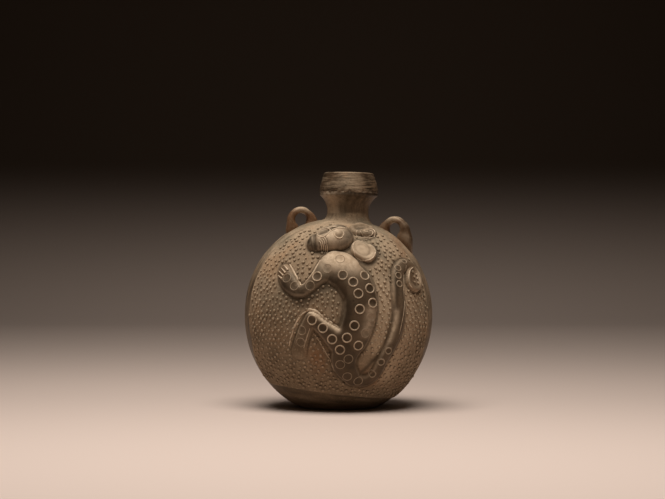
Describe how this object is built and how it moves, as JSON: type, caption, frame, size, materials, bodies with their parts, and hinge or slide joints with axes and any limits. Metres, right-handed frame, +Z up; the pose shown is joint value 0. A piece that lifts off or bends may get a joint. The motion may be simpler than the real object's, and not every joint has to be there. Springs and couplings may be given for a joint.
{
  "type": "relief jar",
  "caption": "Fired blackware jar with a flat base, short collared neck, strap lugs on the shoulders and a spotted feline in relief on the front.",
  "frame": {"origin": "centre of the flat base, on the surface that the jar stands on", "axes": "+Z up through the neck, -Y out of the relief's front face, +X to the right of someone who faces the relief"},
  "size_m": [0.1598, 0.1388, 0.2004],
  "materials": {
    "blackware": "burnished smoke-blackened clay under a thin tan crust"
  },
  "bodies": {
    "root": {"jar": "blackware"}
  },
  "joints": []
}
